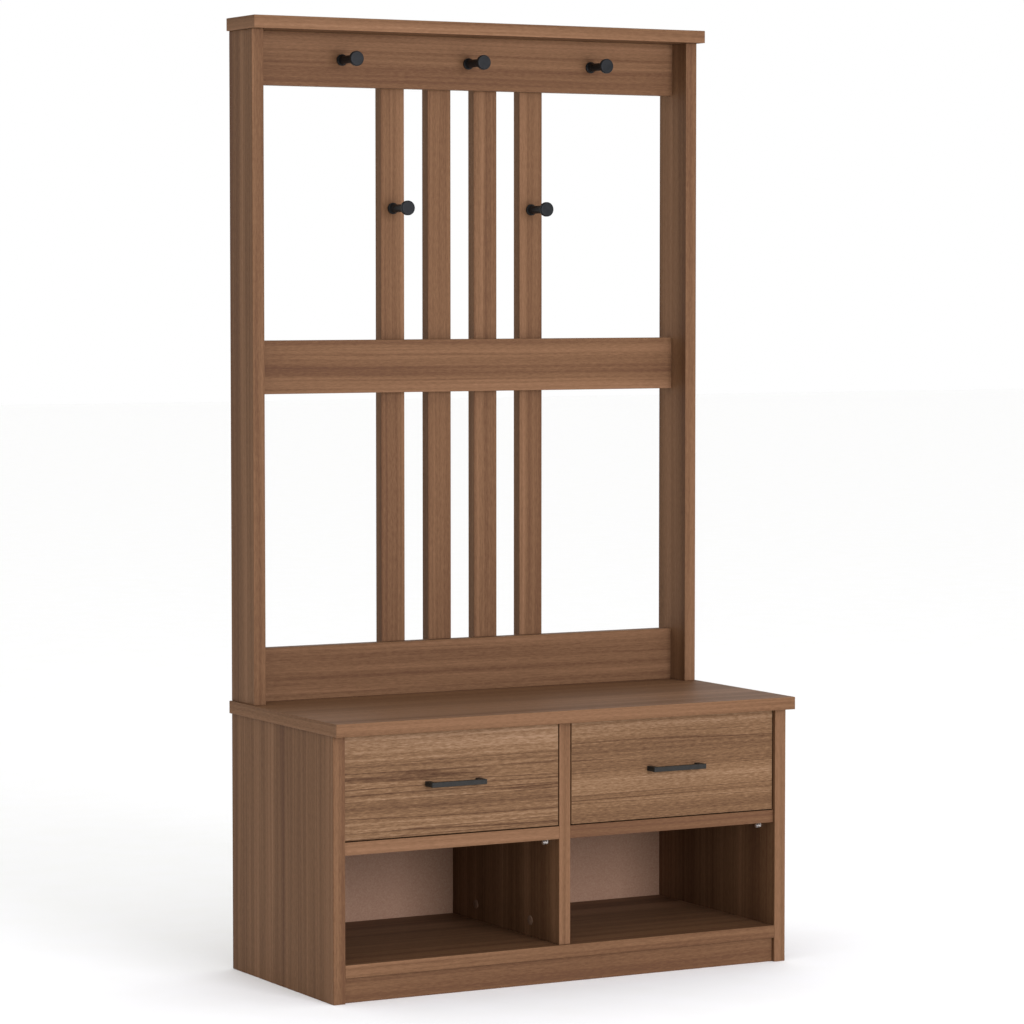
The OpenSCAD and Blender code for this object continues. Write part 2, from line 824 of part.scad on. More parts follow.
drawer_back(-1);  // drawer_left_back
drawer_bottom(-1);  // drawer_left_bottom
drawer_handle(-1);  // drawer_left_handle
drawer_handle_screws(-1);  // drawer_left_handle_screws
drawer_cam_fittings(-1);  // drawer_left_cam_fittings
drawer_screws(-1);  // drawer_left_screws
drawer_runners(-1);  // drawer_left_runners
roller_pair(-1, rear_axle_y);  // drawer_left_rollers
drawer_front(1);  // drawer_right_front
drawer_side(1, -1);  // drawer_right_side_a
drawer_side(1, 1);  // drawer_right_side_b
drawer_back(1);  // drawer_right_back
drawer_bottom(1);  // drawer_right_bottom
drawer_handle(1);  // drawer_right_handle
drawer_handle_screws(1);  // drawer_right_handle_screws
drawer_cam_fittings(1);  // drawer_right_cam_fittings
drawer_screws(1);  // drawer_right_screws
drawer_runners(1);  // drawer_right_runners
roller_pair(1, rear_axle_y);  // drawer_right_rollers
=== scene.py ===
# %% [markdown]
# # A hall tree with a shoe bench
# The real piece is flat-pack furniture: melamine-faced boards with a printed walnut figure, joined by
# cams and dowels, with turned metal knobs and two drawers on roller runners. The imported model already
# holds every board, hole and screw at its true size. This lesson dresses it: each board gets eased edges
# and grain that follows it, the metal parts get smooth meshes, and every surface gets its own finish.

import json
import math

import bmesh
import bpy
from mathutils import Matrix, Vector


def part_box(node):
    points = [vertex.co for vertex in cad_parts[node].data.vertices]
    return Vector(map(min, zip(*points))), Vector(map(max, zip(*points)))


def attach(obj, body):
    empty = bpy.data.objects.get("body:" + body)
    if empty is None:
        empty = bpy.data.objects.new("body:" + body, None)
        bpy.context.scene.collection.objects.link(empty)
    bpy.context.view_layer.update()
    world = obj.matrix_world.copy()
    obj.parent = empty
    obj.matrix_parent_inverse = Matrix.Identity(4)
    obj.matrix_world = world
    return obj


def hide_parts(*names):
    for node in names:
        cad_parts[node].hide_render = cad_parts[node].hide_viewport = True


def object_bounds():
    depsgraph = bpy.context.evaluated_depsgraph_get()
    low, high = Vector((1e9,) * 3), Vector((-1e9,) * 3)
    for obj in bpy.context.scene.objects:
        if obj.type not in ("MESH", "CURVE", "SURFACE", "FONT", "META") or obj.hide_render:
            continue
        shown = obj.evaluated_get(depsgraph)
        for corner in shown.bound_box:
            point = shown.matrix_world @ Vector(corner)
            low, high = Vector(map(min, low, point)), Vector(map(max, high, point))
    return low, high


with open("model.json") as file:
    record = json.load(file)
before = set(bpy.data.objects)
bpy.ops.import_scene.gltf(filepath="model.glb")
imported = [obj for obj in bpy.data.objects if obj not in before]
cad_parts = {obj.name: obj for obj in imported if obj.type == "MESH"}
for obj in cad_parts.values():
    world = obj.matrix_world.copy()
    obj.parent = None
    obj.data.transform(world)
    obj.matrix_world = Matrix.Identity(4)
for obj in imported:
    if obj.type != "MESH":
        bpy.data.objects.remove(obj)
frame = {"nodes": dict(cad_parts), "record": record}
cad_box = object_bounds()
nodes = frame["nodes"]
body_of = {n: body for body, names in frame["record"]["behaviour"]["bodies"].items() for n in names}
MM = 0.001
print("the CAD box", [[round(c, 4) for c in corner] for corner in cad_box])

# %% [markdown]
# ## The camera
# The camera stands about seven metres away, a little above the middle of the furniture and to its left,
# with a long lens. A short lens close by would show more of the top, but a long lens from far away keeps
# upright edges almost parallel, as in a catalogue. Depth of field stays off, so every board is sharp.

# %% The camera
CAMERA_PLACE = (-3.267, -5.937, 1.199)
CAMERA_YAW = 28.8
CAMERA_DIP = 3.37
SENSOR_WIDTH = 36
LENS_LENGTH = 136.5

camera_data = bpy.data.cameras.new("camera")
camera_data.sensor_width = SENSOR_WIDTH
camera_data.lens = LENS_LENGTH
camera = bpy.data.objects.new("camera", camera_data)
camera.location = CAMERA_PLACE
camera.rotation_euler = (math.radians(90 - CAMERA_DIP), 0, math.radians(-CAMERA_YAW))
bpy.context.scene.collection.objects.link(camera)
bpy.context.scene.camera = camera
part_middle = (Vector(cad_box[0]) + Vector(cad_box[1])) / 2
print("camera to the middle of the part", round((camera.location - part_middle).length, 2), "m")

# %% [markdown]
# ## The light
# The room is an even white sky, which alone would light every side alike and leave the open bays flat.
# One large lamp straight in front, not much higher than the furniture, lights the fronts more than the
# sides and reaches into the bays. It is slightly cool, as a daylight lamp is, because brown boards
# bounce a warm light onto each other. The plain "Standard" view shows white paper as white.

# %% The lamp and the sky
LAMP_PLACE = (0.55, -6.2, 1.5)
LAMP_AIM = (0, 0, 0.6)
LAMP_SIZE = 2.4
LAMP_WATTS = 310
LAMP_TINT = (0.99, 1.0, 1.13)
SKY_STRENGTH = 1.0

lamp_data = bpy.data.lights.new("front_lamp", "AREA")
lamp_data.shape = "SQUARE"
lamp_data.size = LAMP_SIZE
lamp_data.energy = LAMP_WATTS
lamp_data.color = LAMP_TINT
lamp = bpy.data.objects.new("front_lamp", lamp_data)
lamp.location = LAMP_PLACE
lamp.rotation_euler = (Vector(LAMP_AIM) - Vector(LAMP_PLACE)).to_track_quat("-Z", "Y").to_euler()
bpy.context.scene.collection.objects.link(lamp)

world = bpy.data.worlds.new("white_room")
world.use_nodes = True
sky = world.node_tree.nodes["Background"]
sky.inputs["Color"].default_value = (1, 1, 1, 1)
sky.inputs["Strength"].default_value = SKY_STRENGTH
bpy.context.scene.world = world
bpy.context.scene.view_settings.view_transform = "Standard"
print("lamp", LAMP_WATTS, "W,", LAMP_SIZE, "m square; sky strength", SKY_STRENGTH)

# %% [markdown]
# ## Tools for colours and nodes
# Colours are written as sRGB hex values, the way a paint chart gives them, and one function turns them
# into the linear numbers that a shader needs. Nodes could be made and linked one statement at a time,
# but that hides the pattern in bookkeeping, so one small function adds a node, sets it and links it.


# %% Colour and node helpers
def linear(code):
    """An sRGB hex colour as linear red, green, blue and alpha."""
    shares = [int(code[i:i + 2], 16) / 255 for i in (1, 3, 5)]
    return (*(c / 12.92 if c <= 0.04045 else ((c + 0.055) / 1.055) ** 2.4 for c in shares), 1)


def wire(node, inputs):
    """Gives each input its value, the socket that feeds it, or a list of sockets that all feed it."""
    for name, value in inputs.items():
        feeds = value if isinstance(value, list) else [value]
        for feed in feeds:
            if isinstance(feed, bpy.types.NodeSocket):
                node.id_data.links.new(feed, node.inputs[name])
            else:
                node.inputs[name].default_value = feed


def add(tree, kind, inputs=None, stops=(), **settings):
    """Adds a node. Settings are its properties; stops are a colour ramp's (place, hex colour) pairs."""
    node = tree.nodes.new(kind)
    for name, value in settings.items():
        setattr(node, name, value)
    wire(node, inputs or {})
    while stops and len(node.color_ramp.elements) < len(stops):
        node.color_ramp.elements.new(0.5)
    for number, (place, code) in enumerate(stops):
        node.color_ramp.elements[number].position = place
        node.color_ramp.elements[number].color = linear(code)
    return node


def start_material(name, constants):
    """A material with one Principled shader whose constants are set on its own sockets."""
    material = bpy.data.materials.new(name)
    material.use_nodes = True
    shader = material.node_tree.nodes["Principled BSDF"]
    wire(shader, constants)
    return material, material.node_tree, shader


print("brown in linear light", [round(c, 3) for c in linear("#85634b")])

# %% [markdown]
# ## The printed wood figure
# The boards are particle board under a printed walnut paper, pressed in melamine resin. The eye sees a
# satin brown skin with straight growth lines that hardly wander along a board. Rings cut by a plane would
# give the arches of solid wood; this paper has none, so noise stretched along the grain is enough. There
# are growth bands about 60 mm across, lines 5.5 mm across, a dark line of late wood where two bands meet,
# and short pore flecks. Real flecks are under 1 mm wide; they are drawn 1.6 mm wide so that they still
# show from across a room. The pattern reads each board's "grain" attribute, which holds metres along the
# grain, metres across it, and a number that differs from face to face.


# %% The layers of the figure
def stretched(tree, vector, along, across, detail, rough=0.5, drift=0.0):
    """Noise whose features are along by across metres, moved by drift so that no two layers agree."""
    place = add(tree, "ShaderNodeMapping", {
        "Vector": vector, "Location": (drift, drift, drift), "Scale": (1 / along, 1 / across, 1)})
    noise = add(tree, "ShaderNodeTexNoise", {
        "Vector": place.outputs["Vector"], "Scale": 1.0, "Detail": detail, "Roughness": rough})
    return noise.outputs["Fac"]


def mixed(tree, parts):
    """The sum of (value, weight) pairs."""
    total = 0.0
    for value, weight in parts:
        node = add(tree, "ShaderNodeMath", {0: value, 1: weight, 2: total}, operation="MULTIPLY_ADD")
        total = node.outputs["Value"]
    return total


# Each layer's length along the grain and width across it, in metres
WANDER_SIZE = (0.5, 120 * MM)
BAND_SIZE = (4.0, 60 * MM)
LINE_SIZE = (1.2, 5.5 * MM)
FLECK_SIZE = (11 * MM, 1.6 * MM)
# How far a growth line wanders sideways
WANDER_REACH = 5 * MM
# Late wood lies where the band noise is within this much of its middle value
LATE_WOOD_REACH = 0.013
LINE_WEIGHT = 0.22
print("bands", round(BAND_SIZE[1] / MM), "mm, lines", round(LINE_SIZE[1] / MM, 1), "mm across")


# %% The walnut paper
def walnut_paper(name, colours, contrast, late_weight, fleck_weight):
    """Printed walnut melamine: the IOR of melamine resin, satin, a hair deeper where the pores run."""
    material, tree, shader = start_material(name, {"IOR": 1.5, "Specular IOR Level": 0.06})
    grain = add(tree, "ShaderNodeAttribute", attribute_name="grain").outputs["Vector"]
    wander = add(tree, "ShaderNodeMapRange", {
        "Value": stretched(tree, grain, *WANDER_SIZE, 1.5, drift=7.1),
        "To Min": -WANDER_REACH, "To Max": WANDER_REACH})
    apart = add(tree, "ShaderNodeCombineXYZ", {"Y": wander.outputs["Result"]})
    bent = add(tree, "ShaderNodeVectorMath", {0: grain, 1: apart.outputs["Vector"]}, operation="ADD")
    bent = bent.outputs["Vector"]
    bands = stretched(tree, bent, *BAND_SIZE, 3, 0.65, drift=1.3)
    lines = stretched(tree, bent, *LINE_SIZE, 2, 0.5, drift=2.9)
    flecks = stretched(tree, bent, *FLECK_SIZE, 2, 0.6, drift=5.3)
    beside = add(tree, "ShaderNodeMath", {0: bands, 1: 0.5}, operation="SUBTRACT").outputs["Value"]
    beside = add(tree, "ShaderNodeMath", {0: beside}, operation="ABSOLUTE").outputs["Value"]
    late_wood = add(tree, "ShaderNodeMapRange", {
        "Value": beside, "From Max": LATE_WOOD_REACH, "To Min": 1.0, "To Max": 0.0}).outputs["Result"]
    figure = mixed(tree, [(bands, 1 - LINE_WEIGHT - fleck_weight), (lines, LINE_WEIGHT),
                          (flecks, fleck_weight), (late_wood, -late_weight)])
    spread = add(tree, "ShaderNodeMapRange", {
        "Value": figure, "From Min": 0.5 - 0.5 / contrast, "From Max": 0.5 + 0.5 / contrast})
    colour = add(tree, "ShaderNodeValToRGB", {"Fac": spread.outputs["Result"]}, stops=colours)
    gloss = add(tree, "ShaderNodeMapRange", {"Value": figure, "To Min": 0.6, "To Max": 0.5})
    relief = add(tree, "ShaderNodeBump", {
        "Height": mixed(tree, [(lines, 0.4), (flecks, 0.6)]), "Distance": 0.12 * MM, "Strength": 0.5})
    wire(shader, {"Base Color": colour.outputs["Color"], "Roughness": gloss.outputs["Result"],
                  "Normal": relief.outputs["Normal"]})
    return material


# The carcass print is calm and even: mid brown, with few late-wood lines
board_walnut = walnut_paper("walnut_melamine_board", [
    (0.0, "#492f23"), (0.3, "#5a3e2a"), (0.5, "#674a33"), (0.72, "#74543c"), (1.0, "#85644a")],
    contrast=2.6, late_weight=0.03, fleck_weight=0.22)
# The drawer fronts' print is bolder: paler, with strong streaks, dark lines and clear pores
front_walnut = walnut_paper("walnut_melamine_drawer_front", [
    (0.0, "#442d1d"), (0.28, "#583f2b"), (0.5, "#684d35"), (0.7, "#785c43"), (1.0, "#8d7057")],
    contrast=3.0, late_weight=0.14, fleck_weight=0.33)
print("walnut materials", board_walnut.name, front_walnut.name)

# %% [markdown]
# ## Sheets, cores and dowels
# Where a drill or a saw has gone through the paper, the pale particle board shows: flakes of wood a few
# millimetres long in glue. The back panel and the drawer bottoms are thin hardboard, printed with a
# greyish brown on one side and left raw on the other. Scattered meshes of chips would be wasted on such
# small areas, so cells and noise at the chips' real size give the mottle and a little relief.


# %% Board cores and sheets
def chips(name, colours, chip, roughness, relief):
    """Pressed wood: matt, mottled in patches about chip metres across."""
    material, tree, shader = start_material(name, {
        "IOR": 1.45, "Specular IOR Level": 0.3, "Roughness": roughness})
    place = add(tree, "ShaderNodeTexCoord").outputs["Object"]
    flakes = add(tree, "ShaderNodeTexVoronoi", {"Vector": place, "Scale": 1 / chip})
    shade = add(tree, "ShaderNodeSeparateColor", {"Color": flakes.outputs["Color"]}).outputs["Red"]
    dust = add(tree, "ShaderNodeTexNoise", {"Vector": place, "Scale": 0.6 / chip, "Detail": 4})
    tone = mixed(tree, [(shade, 0.35), (dust.outputs["Fac"], 0.65)])
    colour = add(tree, "ShaderNodeValToRGB", {"Fac": tone}, stops=colours)
    bumps = add(tree, "ShaderNodeBump", {"Height": tone, "Distance": relief, "Strength": 0.6})
    wire(shader, {"Base Color": colour.outputs["Color"], "Normal": bumps.outputs["Normal"]})
    return material


# Sawn particle board: pale straw-coloured flakes, quite rough
particle_core = chips("particle_board_core", [(0.2, "#8f6f4c"), (0.5, "#b3936b"), (0.8, "#cdb18a")],
                      2.5 * MM, 0.85, 0.3 * MM)
# Unprinted hardboard: an even dull brown felt of fibres
raw_hardboard = chips("raw_hardboard", [(0.25, "#624a37"), (0.5, "#6b513c"), (0.75, "#745942")],
                      2 * MM, 0.8, 0.1 * MM)
# Printed hardboard: a flat greyish-brown print over the same felt, slightly smoother
printed_hardboard = chips("printed_hardboard", [(0.15, "#805d47"), (0.5, "#876750"), (0.85, "#8f7159")],
                          2 * MM, 0.6, 0.05 * MM)
# Turned beech: pale, pinkish, with small speckles
beech = chips("beech_dowel_wood", [(0.25, "#bb9468"), (0.5, "#d0ab7e"), (0.75, "#dfbf95")],
              1.5 * MM, 0.7, 0.1 * MM)
print("pressed wood materials", [m.name for m in (particle_core, raw_hardboard, printed_hardboard, beech)])

# %% [markdown]
# ## Metals and plastics
# The knobs are cast zinc under a slate-black powder coat and the handles under a gunmetal one, satin
# skins with a faint orange peel about half a millimetre across, drawn at 0.8 mm so that it shows.
# Screws are zinc-plated steel, slightly cloudy, and the shelf pins bright nickel. The runners are steel
# in white epoxy paint, the rollers white nylon, and the caps over the cams brown polythene. All of
# them vary in the same two ways, clouds of tone and gloss and a fine relief, so one function serves.

# %% A coated, plated or moulded skin
CLOUD_WIDTH = 10


def speckled(name, low, high, grit, relief, rough, constants):
    """A skin whose height varies every grit metres, and its colour and gloss in clouds ten times wider."""
    material, tree, shader = start_material(name, constants)
    place = add(tree, "ShaderNodeTexCoord").outputs["Object"]
    cloud = add(tree, "ShaderNodeTexNoise", {
        "Vector": place, "Scale": 1 / (CLOUD_WIDTH * grit), "Detail": 3}).outputs["Fac"]
    fine = add(tree, "ShaderNodeTexNoise", {"Vector": place, "Scale": 1 / grit, "Detail": 2}).outputs["Fac"]
    colour = add(tree, "ShaderNodeValToRGB", {"Fac": cloud}, stops=[(0.35, low), (0.65, high)])
    gloss = add(tree, "ShaderNodeMapRange", {
        "Value": cloud, "From Min": 0.3, "From Max": 0.7, "To Min": rough[0], "To Max": rough[1]})
    peel = add(tree, "ShaderNodeBump", {"Height": fine, "Distance": relief, "Strength": 0.5})
    wire(shader, {"Base Color": colour.outputs["Color"], "Roughness": gloss.outputs["Result"],
                  "Normal": peel.outputs["Normal"]})
    return material


# Slate powder coat: nearly black and satin, so the knobs read as plain dark shapes with soft highlights
slate_coat = speckled("slate_powder_coat", "#141516", "#1a1b1c", 0.8 * MM, 0.04 * MM, (0.36, 0.46),
                      {"IOR": 1.5, "Specular IOR Level": 0.12})
# Gunmetal powder coat: a shade lighter, warmer and duller than the slate
gunmetal_coat = speckled("gunmetal_powder_coat", "#201f1c", "#272522", 0.8 * MM, 0.04 * MM, (0.4, 0.5),
                         {"IOR": 1.5, "Specular IOR Level": 0.12})
# Zinc plate: a cool mid-grey metal, cloudy from its chromate dip
zinc_plate = speckled("zinc_plated_steel", "#aeb0b0", "#c3c5c6", 1.2 * MM, 0.02 * MM, (0.25, 0.4),
                      {"Metallic": 1.0})
# Nickel plate: the brightest metal here, slightly warm, soft enough to glow rather than mirror
bright_nickel = speckled("bright_nickel_plate", "#e4dfd8", "#f0ece6", 1 * MM, 0.02 * MM, (0.42, 0.52),
                         {"Metallic": 1.0})
# Bare die-cast zinc: a duller, darker grey with a grainy skin
cast_zinc = speckled("die_cast_zinc", "#9a9c9c", "#b2b4b3", 0.9 * MM, 0.04 * MM, (0.38, 0.52),
                     {"Metallic": 1.0})
# Epoxy paint: clean off-white with a gloss
epoxy_white = speckled("white_epoxy_paint", "#dedfdb", "#e9eae6", 1.5 * MM, 0.03 * MM, (0.3, 0.42),
                       {"IOR": 1.52})
# Nylon: milky white, light passes a little way in
nylon_white = speckled("white_nylon", "#e6e5de", "#f0efe9", 1 * MM, 0.02 * MM, (0.42, 0.52),
                       {"IOR": 1.53, "Subsurface Weight": 0.05, "Subsurface Scale": 2 * MM})
# Polythene: a waxy brown, paler than the boards, so the caps just show
polythene_brown = speckled("brown_polythene_cap", "#705847", "#7c6351", 1 * MM, 0.02 * MM, (0.55, 0.65),
                           {"IOR": 1.51, "Specular IOR Level": 0.1})
print("metal and plastic materials end with", polythene_brown.name)

# %% [markdown]
# ## Eased boards
# A saw leaves a razor edge, so every real board has its edges eased and banded. A new box with a bevel
# would lose the drilled holes, so each board starts as a merged copy of its CAD node, and every hole
# stays where it is. Its long edges are rounded by a few tenths of a millimetre, and weighted normals
# keep the broad faces flat. Faces on the outside of the board wear the printed paper; the walls of
# holes and grooves show the core.

# %% Copy a node and find its outer edges
SKIN_TOUCH = 1e-5
MERGE_GAP = 1e-6
FLAT_ANGLE = math.radians(0.5)


def merged_copy(node):
    """A clean bmesh of a CAD node: corners merged and flat faces joined."""
    shape = bmesh.new()
    shape.from_mesh(nodes[node].data)
    bmesh.ops.remove_doubles(shape, verts=shape.verts, dist=MERGE_GAP)
    bmesh.ops.dissolve_limit(shape, angle_limit=FLAT_ANGLE, verts=shape.verts, edges=shape.edges)
    return shape


def box_edges(shape, low, high):
    """The edges that lie along two outer planes of the box from low to high."""
    def planes(point):
        return {(i, side) for i in range(3) for side, end in ((0, low), (1, high))
                if abs(point[i] - end[i]) < SKIN_TOUCH}
    return [e for e in shape.edges if len(planes(e.verts[0].co) & planes(e.verts[1].co)) >= 2]


sample = merged_copy("slat_1")
print("a slat merges to", len(sample.faces), "faces and has", len(box_edges(sample, *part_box("slat_1"))),
      "outer edges")
sample.free()

# %% [markdown]
# ## Grain that follows each board
# A board's print runs along its length whichever way the board stands, and no two boards come from the
# same stretch of paper. Object coordinates can't know that, so each board carries its own "grain"
# attribute, with steps between boards and between faces that are large against the pattern.

# %% Set the grain
PRINT_STEP = 0.83
BOARD_STEP = 3.7
FACE_STEP = 0.61
SIDE_STEP = 0.29


def facing_axis(face):
    """The axis that a face looks along most nearly."""
    return max(range(3), key=lambda i: abs(face.normal[i]))


def set_grain(mesh, low, high, along, number):
    """Writes the grain attribute: metres along, metres across, and a number for each face's own print."""
    values = mesh.attributes.new("grain", "FLOAT_VECTOR", "CORNER")
    size = high - low
    for face in mesh.polygons:
        facing = facing_axis(face)
        run = along
        if facing == along:
            run = max((i for i in range(3) if i != facing), key=lambda i: size[i])
        across = 3 - facing - run
        print_number = number * BOARD_STEP + facing * FACE_STEP
        print_number += SIDE_STEP if face.normal[facing] > 0 else 0
        for corner in face.loop_indices:
            point = mesh.vertices[mesh.loops[corner].vertex_index].co
            values.data[corner].vector = (point[run] + number * PRINT_STEP, point[across], print_number)


print("boards are", PRINT_STEP, "m apart along the print")

# %% [markdown]
# ## From a shape to a finished piece
# Every piece ends in the same steps: its mesh becomes an object at the origin, its normals are weighed
# so that rounded edges catch the light, and it rides where its CAD node rides and stands for it.

# %% Finish a piece
SHARP_BOARD = math.radians(50)


def as_mesh(name, shape):
    """A mesh from a bmesh, which is freed."""
    mesh = bpy.data.meshes.new(name)
    shape.to_mesh(mesh)
    shape.free()
    return mesh


def to_object(name, mesh, materials):
    """An object at the origin that wears the materials."""
    for material in materials:
        mesh.materials.append(material)
    made = bpy.data.objects.new(name, mesh)
    bpy.context.scene.collection.objects.link(made)
    return made


def weigh_normals(made):
    """Shades the rounded edges smoothly while the broad faces stay flat."""
    made.data.shade_smooth()
    made.data.set_sharp_from_angle(angle=SHARP_BOARD)
    modifier = made.modifiers.new("flat_faces", "WEIGHTED_NORMAL")
    modifier.keep_sharp = True
    evaluated = made.evaluated_get(bpy.context.evaluated_depsgraph_get())
    mesh = bpy.data.meshes.new_from_object(evaluated)
    made.modifiers.clear()
    made.data = mesh


def finish_piece(made, node):
    """The piece rides where its CAD node rides and stands for it."""
    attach(made, body_of[node])
    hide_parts(node)
    return made


print("edges sharper than", round(math.degrees(SHARP_BOARD)), "degrees stay crisp")

# %% Ease a board
ROUND_STEPS = 3
BOARD_EASE = 0.8 * MM
FRONT_EASE = 1.0 * MM
SHEET_EASE = 0.2 * MM
# The printed skin is in a board's first material slot
CORE_SLOT = 1
REAR_SLOT = 2


def bevel(shape, edges, offset, segments):
    """Rounds the edges by offset metres."""
    bmesh.ops.bevel(shape, geom=edges, offset=offset, offset_type="OFFSET", segments=segments,
                    profile=0.5, affect="EDGES", clamp_overlap=True)


def eased_board(node, along, number, skin, core=particle_core, rear=None, ease=BOARD_EASE):
    """A board with eased edges, its grain along axis number along, and its own stretch of print."""
    low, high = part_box(node)
    shape = merged_copy(node)
    bevel(shape, box_edges(shape, low, high), ease, ROUND_STEPS)
    mesh = as_mesh(node + "_board", shape)
    for face in mesh.polygons:
        facing = facing_axis(face)
        depth = min(face.center[facing] - low[facing], high[facing] - face.center[facing])
        if depth > ease:
            face.material_index = CORE_SLOT
        elif rear and face.normal.y > 0.9:
            face.material_index = REAR_SLOT
    set_grain(mesh, low, high, along, number)
    made = to_object(node + "_board", mesh, [skin, core] + ([rear] if rear else []))
    weigh_normals(made)
    return finish_piece(made, node)


print("board edges are eased by", BOARD_EASE / MM, "mm")

# %% [markdown]
# ## The boards of the bench and the frame
# The maker cuts upright boards with the figure running up and lying boards with it running sideways.
# The slats and rails could be one mesh repeated, but their holes differ, so each is made from its own
# node. The back panel is a thin sheet, printed towards the bays and raw behind.

# %% Make the boards
ACROSS, BACK, UP = 0, 1, 2
BACK_PANEL_PRINT = 40
UPRIGHT = ["side_panel_left", "side_panel_right", "divider", "post_left", "post_right",
           "slat_1", "slat_2", "slat_3", "slat_4"]
LYING = ["bench_top", "floor_shelf", "mid_shelf_left", "mid_shelf_right", "plinth", "cap_board",
         "top_rail", "middle_rail", "bottom_rail"]
boards = []
for number, node in enumerate(UPRIGHT + LYING):
    boards.append(eased_board(node, UP if node in UPRIGHT else ACROSS, number + 1, board_walnut))
boards.append(eased_board("back_panel", ACROSS, BACK_PANEL_PRINT, printed_hardboard, raw_hardboard,
                          raw_hardboard, SHEET_EASE))
print("boards", len(boards), "faces", sum(len(b.data.polygons) for b in boards))

# %% [markdown]
# ## The drawers' boards
# The fronts carry the boldest part of the print, lighter and more strongly streaked than the carcass.
# The box behind is plainer: sides and back in the carcass board, and a thin hardboard bottom. Both
# drawers are alike, so one list of boards serves them, each board with the next stretch of print.

# %% Make the drawers' boards
FIRST_DRAWER_PRINT = 21
DRAWER_BOARDS = [("front", ACROSS, front_walnut, particle_core, FRONT_EASE),
                 ("side_a", BACK, board_walnut, particle_core, BOARD_EASE),
                 ("side_b", BACK, board_walnut, particle_core, BOARD_EASE),
                 ("back", ACROSS, board_walnut, particle_core, BOARD_EASE),
                 ("bottom", ACROSS, printed_hardboard, raw_hardboard, SHEET_EASE)]
print_number = FIRST_DRAWER_PRINT
for side in ("left", "right"):
    for part, along, skin, core, ease in DRAWER_BOARDS:
        eased_board("drawer_" + side + "_" + part, along, print_number, skin, core, ease=ease)
        print_number += 1
low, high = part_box("drawer_left_front")
print("a drawer front is", [round(c / MM, 1) for c in high - low], "mm")

# %% [markdown]
# ## The knobs
# A knob is turned or cast in one piece: a small round foot against the wood, a waist that a coat loop
# hangs on, and a mushroom head with a softened rim. Stacked cylinders would leave hard steps, so one
# outline is built from arcs and spun about its axis, in steps fine enough to look round up close.

# %% Draw the knob's outline
SPIN_STEPS = 72
FOOT_RADIUS = 10 * MM
FOOT_THICK = 4 * MM
FOOT_EDGE = 0.8 * MM
NECK_RADIUS = 7 * MM
NECK_START = 12 * MM
HEAD_FLARE = 9 * MM
HEAD_THICK = 7 * MM
HEAD_LIP = 1 * MM
RIM_RADIUS = 2 * MM
FACE_RINGS = (0.66, 0.33)


def arc(centre, radii, start, end, steps):
    """Points (radius, height) along an elliptical arc, with its angles in degrees."""
    points = []
    for i in range(steps + 1):
        angle = math.radians(start + (end - start) * i / steps)
        points.append((centre[0] + radii[0] * math.cos(angle), centre[1] + radii[1] * math.sin(angle)))
    return points


def knob_outline(length, head_radius):
    """From the middle of the foot to the middle of the head's face."""
    foot_in = FOOT_RADIUS - FOOT_EDGE
    inner = head_radius - HEAD_LIP
    flare_end = length - HEAD_THICK
    flare_start = flare_end - HEAD_FLARE
    return (
        [(0, 0), (foot_in * 0.5, 0)]
        + arc((foot_in, FOOT_EDGE / 2), (FOOT_EDGE, FOOT_EDGE / 2), -90, 0, 3)
        + arc((foot_in, FOOT_THICK - FOOT_EDGE), (FOOT_EDGE, FOOT_EDGE), 0, 90, 4)
        + arc((foot_in, NECK_START), (NECK_RADIUS - foot_in, FOOT_THICK - NECK_START), 90, 0, 10)[1:]
        + [(NECK_RADIUS, NECK_START + (flare_start - NECK_START) * i / 3) for i in (1, 2)]
        + arc((inner, flare_start), (NECK_RADIUS - inner, HEAD_FLARE), 0, 90, 12)
        + arc((inner, flare_end + HEAD_LIP), (HEAD_LIP, HEAD_LIP), -90, 0, 4)[1:]
        + arc((head_radius - RIM_RADIUS, length - RIM_RADIUS), (RIM_RADIUS, RIM_RADIUS), 0, 90, 8)
        + [(share * (head_radius - RIM_RADIUS), length) for share in FACE_RINGS] + [(0, length)]
    )


low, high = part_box("knob_top_middle")
print("a knob's outline has", len(knob_outline(high.y - low.y, (high.x - low.x) / 2)), "points")


# %% Spin the knobs
def spun(name, outline, place):
    """An outline of (radius, distance towards the front) spun about a line towards the front."""
    shape = bmesh.new()
    points = [shape.verts.new((place.x + r, place.y - d, place.z)) for r, d in outline]
    for a, b in zip(points, points[1:]):
        shape.edges.new((a, b))
    bmesh.ops.spin(shape, geom=shape.verts[:] + shape.edges[:], cent=place, axis=(0, 1, 0),
                   angle=math.tau, steps=SPIN_STEPS, use_duplicate=False)
    bmesh.ops.remove_doubles(shape, verts=shape.verts, dist=MERGE_GAP)
    bmesh.ops.recalc_face_normals(shape, faces=shape.faces)
    return as_mesh(name, shape)


for node in ("knob_top_left", "knob_top_middle", "knob_top_right", "knob_slat_left", "knob_slat_right"):
    low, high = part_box(node)
    foot_middle = Vector(((low.x + high.x) / 2, high.y, (low.z + high.z) / 2))
    outline = knob_outline(high.y - low.y, (high.x - low.x) / 2)
    knob = to_object(node + "_turned", spun(node + "_turned", outline, foot_middle), [slate_coat])
    weigh_normals(knob)
    finish_piece(knob, node)
print("a knob has", len(knob.data.polygons), "faces and is", round((high.y - low.y) / MM, 1), "mm long")

# %% [markdown]
# ## The drawer handles
# Each handle is a square bar bent into a shallow staple, with its two ends screwed to the drawer front.
# A swept square would pinch at the corners. Seen from above the handle is one outline with rounded
# corners, so it is drawn flat, raised to its height and its edges rounded a little, as a casting is.

# %% Shape the handles
FOOT_WIDE = 10 * MM
BAR_THICK = 7 * MM
OUTER_CORNER = 2.5 * MM
INNER_CORNER = 1.5 * MM
HANDLE_EASE = 0.7 * MM


